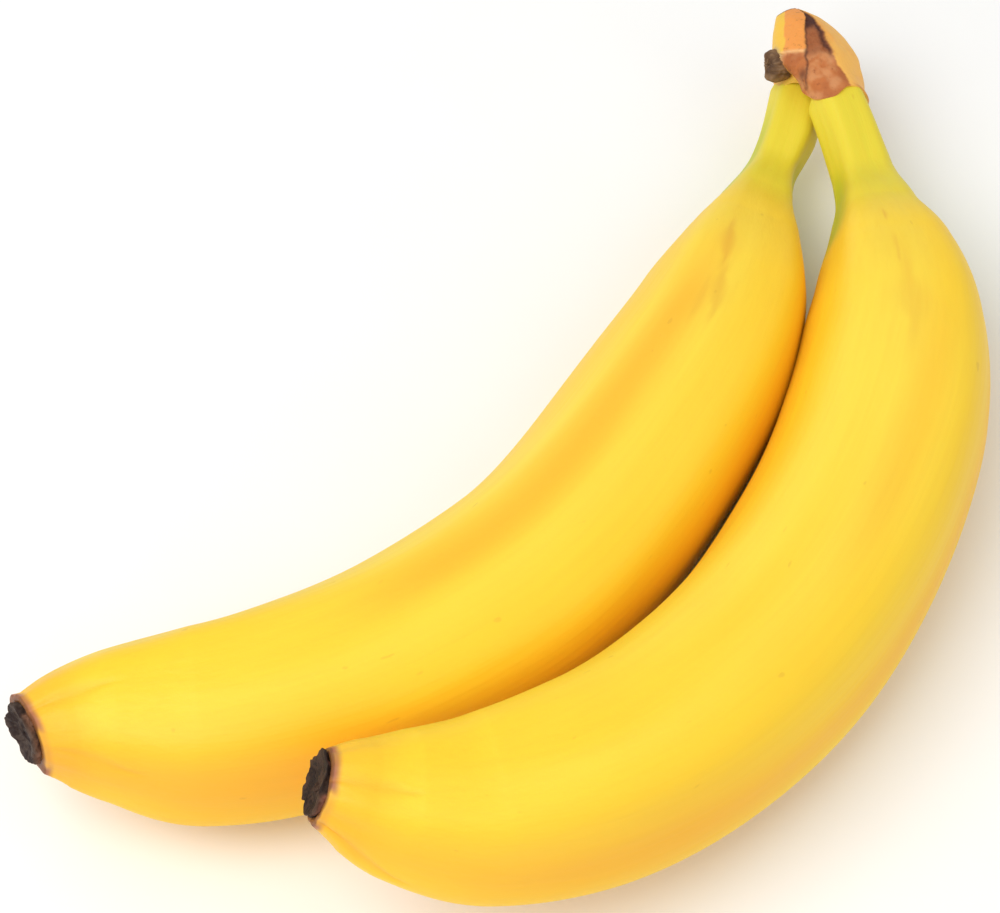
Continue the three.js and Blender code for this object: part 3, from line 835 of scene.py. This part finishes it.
class Finish:
    """A material and its node tree."""

    def __init__(self, name):
        self.material = bpy.data.materials.new(name)
        self.material.use_nodes = True
        self.tree = self.material.node_tree
        self.shader = self.tree.nodes["Principled BSDF"]

    def node(self, kind, settings=None, **sockets):
        """Adds a node, sets its settings first, then its sockets' values or links. A socket
        is named by its label, with _ for a space."""
        node = self.tree.nodes.new(kind)
        for key, value in (settings or {}).items():
            setattr(node, key, value)
        for key, value in sockets.items():
            self.put(node.inputs[key.replace("_", " ")], value)
        return node

    def put(self, place, value):
        """Links a socket or a Value to a place, or sets a constant there."""
        if isinstance(value, Value):
            self.tree.links.new(value.socket, place)
        elif isinstance(value, bpy.types.NodeSocket):
            self.tree.links.new(value, place)
        else:
            place.default_value = value

    def number(self, name):
        """A number stored on the piece's points."""
        node = self.node("ShaderNodeAttribute", {"attribute_name": name})
        return Value(self.tree, node.outputs["Fac"])

    def vector(self, name):
        """A vector stored on the piece's points."""
        return self.node("ShaderNodeAttribute", {"attribute_name": name}).outputs["Vector"]

    def stretched(self, vector, scale):
        """A vector with each part scaled, so that a pattern runs long one way."""
        node = self.node("ShaderNodeVectorMath", {"operation": "MULTIPLY"})
        self.put(node.inputs[0], vector)
        self.put(node.inputs[1], scale)
        return node.outputs[0]

    def noise(self, vector, scale, detail=3.0, roughness=0.5):
        """Smooth seeded noise of about 0.2 to 0.8. The scale is in bumps a metre."""
        node = self.node("ShaderNodeTexNoise", None, Vector=vector, Scale=scale, Detail=detail,
                         Roughness=roughness)
        return Value(self.tree, node.outputs["Fac"])

    def spread(self, value, low, high):
        """0 where a number is below `low`, 1 above `high`, and smooth between."""
        node = self.node("ShaderNodeMapRange", {"interpolation_type": "SMOOTHSTEP"},
                         Value=value, From_Min=low, From_Max=high)
        return Value(self.tree, node.outputs["Result"])

    def mix(self, share, first, second):
        """The first colour, with a share of the second laid over it."""
        node = self.node("ShaderNodeMix", {"data_type": "RGBA"})
        self.put(node.inputs["Factor"], share)
        for place, colour in zip([s for s in node.inputs if s.type == "RGBA"], (first, second)):
            self.put(place, linear(colour) if isinstance(colour, str) else colour)
        return [s for s in node.outputs if s.type == "RGBA"][0]

    def bump(self, height, strength, distance, normal=None):
        """Tilts the shading as a relief would, after an earlier bump if there is one."""
        node = self.node("ShaderNodeBump", None, Height=height, Strength=strength, Distance=distance)
        if normal is not None:
            self.put(node.inputs["Normal"], normal)
        return node.outputs["Normal"]

    def finish(self, **sockets):
        """Sets the surface shader's own sockets and returns the material."""
        for key, value in sockets.items():
            self.put(self.shader.inputs[key.replace("_", " ")], value)
        return self.material


# %% [markdown]
# ### Ripe peel
#
# Ripe peel is a strong, warm yellow with a waxy satin shine. Soft orange bands on it are
# painted shade: beside a ridge, down the side away from the key lamp, where the fingers lie
# against each other, and under the belly. It stays greenish at the neck, most of all on the
# neck's outer sides where it widens. Light goes a little way into it, which keeps its shadows
# warm. Long faint fibres run from neck to tip, and a few thin brown strokes mark where it was
# rubbed.

# %% Peel finish
LIT_YELLOW = "#ffd12b"
PALE_YELLOW = "#ffdd47"
WARM_ORANGE = "#fbb128"
NECK_YELLOW = "#e6d53a"
NECK_GREEN = "#b0c01c"
BARK_BROWN = "#7c4a26"
STROKE_BROWN = "#dd912a"


def band_between(finish, angle, middle, half):
    """1 at an angle round the finger, in turns, and 0 at `half` a turn-share to each side."""
    off = (angle - middle).folded(0.5)
    return 1 - finish.spread(off, 0.0, half)


def peel_finish(name, shade_bands, greens, tip_warmth):
    """Orange bands of painted shade: (angle, half width, from share, to share, strength), in turns
    round the finger. greens: (angle, half width, share, reach, strength). tip_warmth: how orange
    the tip is."""
    f = Finish(name)
    straight = f.vector("straight")
    share, angle = f.number("share"), f.number("angle")
    long_way = f.stretched(straight, (1.0, 1.0, 0.16))
    drift = f.noise(long_way, 38, 2.0)
    fibre = f.noise(f.stretched(straight, (1.0, 1.0, 0.035)), 900, 3.0, 0.6)
    cloud = f.noise(straight, 26, 2.0)

    colour = f.mix(f.spread(drift, 0.35, 0.68), LIT_YELLOW, PALE_YELLOW)
    # Painted shade: each band lays orange on the peel where it turns from the light or lies in shade.
    for middle, half, start, end, strength in shade_bands:
        run = f.spread(share, start, start + 0.14) * (1 - f.spread(share, end - 0.14, end))
        wavy = angle + (drift - 0.5) * 0.05
        colour = f.mix(band_between(f, wavy, middle, half) * run * strength, colour, WARM_ORANGE)
    neck = 1 - f.spread(share + (drift - 0.5) * 0.06, 0.1, 0.19)
    colour = f.mix(neck * 0.95, colour, NECK_YELLOW)
    for middle, half, at, reach, strength in greens:
        near = 1 - f.spread((share - at) * (share - at), 0.0, reach * reach)
        colour = f.mix(band_between(f, angle, middle, half) * near * strength, colour, NECK_GREEN)
    colour = f.mix(f.spread(fibre, 0.3, 0.75) * 0.1, colour, "#e9b02c")
    colour = f.mix(f.spread(cloud, 0.45, 0.8) * 0.12, colour, WARM_ORANGE)
    tip = f.spread(share + (cloud - 0.5) * 0.05, 0.94, 1.0)
    colour = f.mix(tip * tip_warmth, colour, "#f3a52c")
    bruised = f.spread(f.noise(straight, 130, 1.0), 0.42, 0.6)
    rim = f.spread(share + (cloud - 0.5) * 0.006, 0.9935, 0.9995)
    colour = f.mix(rim * (0.25 + 0.75 * bruised), colour, "#ad6b4c")
    lip = f.spread(share + (bruised - 0.5) * 0.0012, 0.9995, 1.001)
    colour = f.mix(lip * 0.9, colour, BARK_BROWN)
    # Painted shade: orange laid along the folds round the blossom end.
    colour = f.mix(f.number("fold_shade") * 0.6, colour, "#ee9c30")
    colour = f.mix(f.number("streak"), colour, STROKE_BROWN)
    specks = f.spread(f.noise(f.stretched(straight, (1.0, 1.0, 0.5)), 520, 1.0), 0.75, 0.81)
    colour = f.mix(specks * 0.22, colour, "#c98f2c")

    pores = f.noise(f.stretched(straight, (1.0, 1.0, 0.6)), 1500, 2.0)
    normal = f.bump(fibre, 0.22, 0.0004)
    normal = f.bump(pores, 0.1, 0.0002, normal)
    return f.finish(
        Base_Color=colour,
        Roughness=0.4 + drift * 0.14 + fibre * 0.06,
        Normal=normal,
        Subsurface_Weight=0.12,
        Subsurface_Radius=(1.0, 0.55, 0.12),
        Subsurface_Scale=0.003,
        Specular_IOR_Level=0.32,
    )


right_peel_finish = peel_finish(
    "ripe_peel_right",
    # Painted shade on the right finger: orange bands round its sides, down its outer side and under its
    # belly.
    shade_bands=[(0.49, 0.07, 0.2, 0.95, 0.55), (0.31, 0.05, 0.22, 0.6, 0.3), (0.47, 0.14, 0.62, 1.2, 0.5),
           (0.7, 0.12, 0.1, 1.1, 0.6), (0.9, 0.1, 0.1, 1.1, 0.5)],
    greens=[(0.56, 0.18, 0.12, 0.1, 0.8), (0.02, 0.14, 0.12, 0.06, 0.75), (0.75, 0.2, 0.1, 0.1, 0.35)],
    tip_warmth=0.35,
)
left_peel_finish = peel_finish(
    "ripe_peel_left",
    # Painted shade on the left finger: orange beside a ridge, where it lies against the right finger,
    # and under its belly.
    shade_bands=[(0.225, 0.06, 0.2, 0.8, 0.65), (0.47, 0.1, 0.25, 1.0, 0.4), (0.46, 0.17, 0.68, 1.2, 0.65),
           (0.7, 0.12, 0.1, 1.1, 0.6), (0.92, 0.1, 0.1, 1.1, 0.5)],
    greens=[(0.52, 0.14, 0.12, 0.07, 0.6), (0.05, 0.13, 0.09, 0.08, 0.7), (0.75, 0.2, 0.1, 0.1, 0.6)],
    tip_warmth=0.45,
)
right_peel.data.materials.append(right_peel_finish)
left_peel.data.materials.append(left_peel_finish)

# %% [markdown]
# ### Crown, and dried tissue
#
# The crown's skin is yellow going to orange-tan where it was bruised and cut. The scar is
# raw brown flesh, darkest along its right-hand edge. The cut top has dried to a dull
# brown with paler fibres. The blossom ends and the stub are nearly black, greyer in
# patches and paler where they stand out, with pinkish-brown patches at the rim where
# living skin stops.


# %% Crown and dried finishes
def crown_finish():
    """Yellow skin, with every mark of crown_marks() laid over it in turn."""
    f = Finish("crown_tissue")
    place = f.node("ShaderNodeTexCoord").outputs["Object"]
    cloud = f.noise(place, 160, 3.0)
    grit = f.noise(place, 700, 4.0, 0.6)
    blotch = f.noise(place, 330, 2.0)
    scar, line = f.number("scar"), f.number("line")
    tan_face = f.number("tan_face")

    colour = f.mix(f.spread(cloud, 0.35, 0.65), "#f9ae4c", "#fabc56")
    colour = f.mix(f.number("sliver") * 0.8, colour, "#f2c63c")
    colour = f.mix(f.number("young") * 0.9, colour, "#e0b93e")
    colour = f.mix(tan_face * (0.6 + 0.4 * cloud), colour, "#ee9442")
    specks = f.spread(grit, 0.58, 0.7) * tan_face
    colour = f.mix(specks * 0.6, colour, "#a86424")
    flesh = f.mix(f.spread(blotch, 0.4, 0.62), "#c07038", "#d08c58")
    flesh = f.mix(f.spread(cloud, 0.5, 0.66) * 0.5, flesh, "#a4582a")
    flesh = f.mix(f.spread(grit, 0.56, 0.72) * 0.6, flesh, "#84431f")
    colour = f.mix(scar, colour, flesh)
    colour = f.mix(f.number("patch") * (0.35 + 0.7 * blotch), colour, "#8c4c28")
    colour = f.mix(f.number("ridge_line") * 0.7, colour, "#fbc88c")
    colour = f.mix(f.number("collar") * 0.75, colour, "#c9ac7c")
    colour = f.mix(f.number("hem") * 0.6, colour, "#c07c38")
    colour = f.mix((line * (0.7 + 0.75 * blotch)).least(1.0), colour, "#4c2214")
    top = f.mix(f.spread(grit, 0.4, 0.65), "#6b4426", "#a87b45")
    colour = f.mix(f.number("cut"), colour, top)
    normal = f.bump(grit, 0.35, 0.0005)
    return f.finish(
        Base_Color=colour,
        Roughness=0.5 + scar * 0.2 + grit * 0.15,
        Normal=normal,
        Subsurface_Weight=0.06,
        Subsurface_Radius=(1.0, 0.5, 0.15),
        Subsurface_Scale=0.002,
    )


def dried_finish(name, dark, pale_tone, flesh, rim_share):
    """Dark tissue, paler in patches and where it stands out, with flesh-coloured patches at the rim."""
    f = Finish(name)
    place = f.node("ShaderNodeTexCoord").outputs["Object"]
    patch = f.noise(place, 260, 3.0)
    grit = f.noise(place, 1300, 4.0, 0.65)
    colour = f.mix(f.spread(patch, 0.42, 0.62), dark, pale_tone)
    # Paler where the crumpled surface stands out.
    colour = f.mix(f.spread(f.number("rough"), 0.45, 0.95) * 0.6, colour, pale_tone)
    pink = f.number("rim") * f.spread(f.noise(place, 190, 1.0), 0.46, 0.56) * rim_share
    colour = f.mix(pink, colour, flesh)
    colour = f.mix(f.spread(grit, 0.5, 0.8) * 0.5, colour, dark)
    normal = f.bump(grit, 0.7, 0.0006)
    return f.finish(Base_Color=colour, Roughness=0.62 + grit * 0.3, Normal=normal,
                    Specular_IOR_Level=0.35)


crown_piece.data.materials.append(crown_finish())
right_dried = dried_finish("dried_blossom_right", "#24130b", "#4a3324", "#8f5a46", 0.9)
blossom_right.data.materials.append(right_dried)
left_dried = dried_finish("dried_blossom_left", "#291610", "#54443a", "#93684f", 1.0)
blossom_left.data.materials.append(left_dried)
stub.data.materials.append(dried_finish("dried_stub", "#5a3f2a", "#8f6f50", "#9a7648", 0.6))

# %% [markdown]
# ## Who replaces what
#
# Each fine piece stands for its plain solid and rides on the same body.

# %% Ride and replace
for piece, node, slot in (
    (right_peel, "banana_right", "ripe_peel"),
    (left_peel, "banana_left", "ripe_peel"),
    (crown_piece, "crown", "crown_tissue"),
    (blossom_right, "blossom_end_right", "dried_blossom"),
    (blossom_left, "blossom_end_left", "dried_blossom"),
    (stub, "broken_finger_stub", "dried_stub"),
):
    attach(piece, "root")
    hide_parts(node)

# %% [markdown]
# ## Table and light
#
# The table is plain and nearly white. The light is a bright even sky, one large soft lamp
# high at the front left and a second one, four times weaker, at the front right. So the
# shading is gentle and the shadows are faint.

# %% Stage and lights
FLOOR_SIZE = 6.0
SKY_STRENGTH = 0.62
bpy.ops.mesh.primitive_plane_add(size=FLOOR_SIZE, location=(0, 0, cad_box[0][2]))
floor = bpy.context.object
floor.name = "floor"
paper = Finish("paper")
grain = paper.noise(paper.node("ShaderNodeTexCoord").outputs["Object"], 40, 2.0)
floor.data.materials.append(paper.finish(
    Base_Color=paper.mix(grain, "#fdfdfc", "#fafaf8"), Roughness=0.9, Specular_IOR_Level=0.1))


def soft_lamp(name, bearing, pitch, distance, size, watts):
    """A square lamp that looks at the bunch from a bearing and a pitch, in degrees."""
    data = bpy.data.lights.new(name, "AREA")
    data.shape = "SQUARE"
    data.size = size
    data.energy = watts
    lamp = bpy.data.objects.new(name, data)
    way = Vector(direction(bearing, pitch).tolist())
    lamp.location = target + way * distance
    lamp.rotation_euler = way.to_track_quat("Z", "Y").to_euler()
    bpy.context.scene.collection.objects.link(lamp)
    print(f"{name} lamp: {watts} W, {size} m square, {distance} m off")


soft_lamp("key", bearing=215, pitch=58, distance=0.9, size=0.7, watts=4.9)
soft_lamp("fill", bearing=-35, pitch=40, distance=1.1, size=0.8, watts=1.2)

world = bpy.data.worlds.new("studio")
world.use_nodes = True
sky = world.node_tree.nodes["Background"].inputs
sky["Color"].default_value = (1, 1, 1, 1)
sky["Strength"].default_value = SKY_STRENGTH
bpy.context.scene.world = world
bpy.context.scene.view_settings.view_transform = "Standard"
bpy.context.scene.view_settings.look = "None"
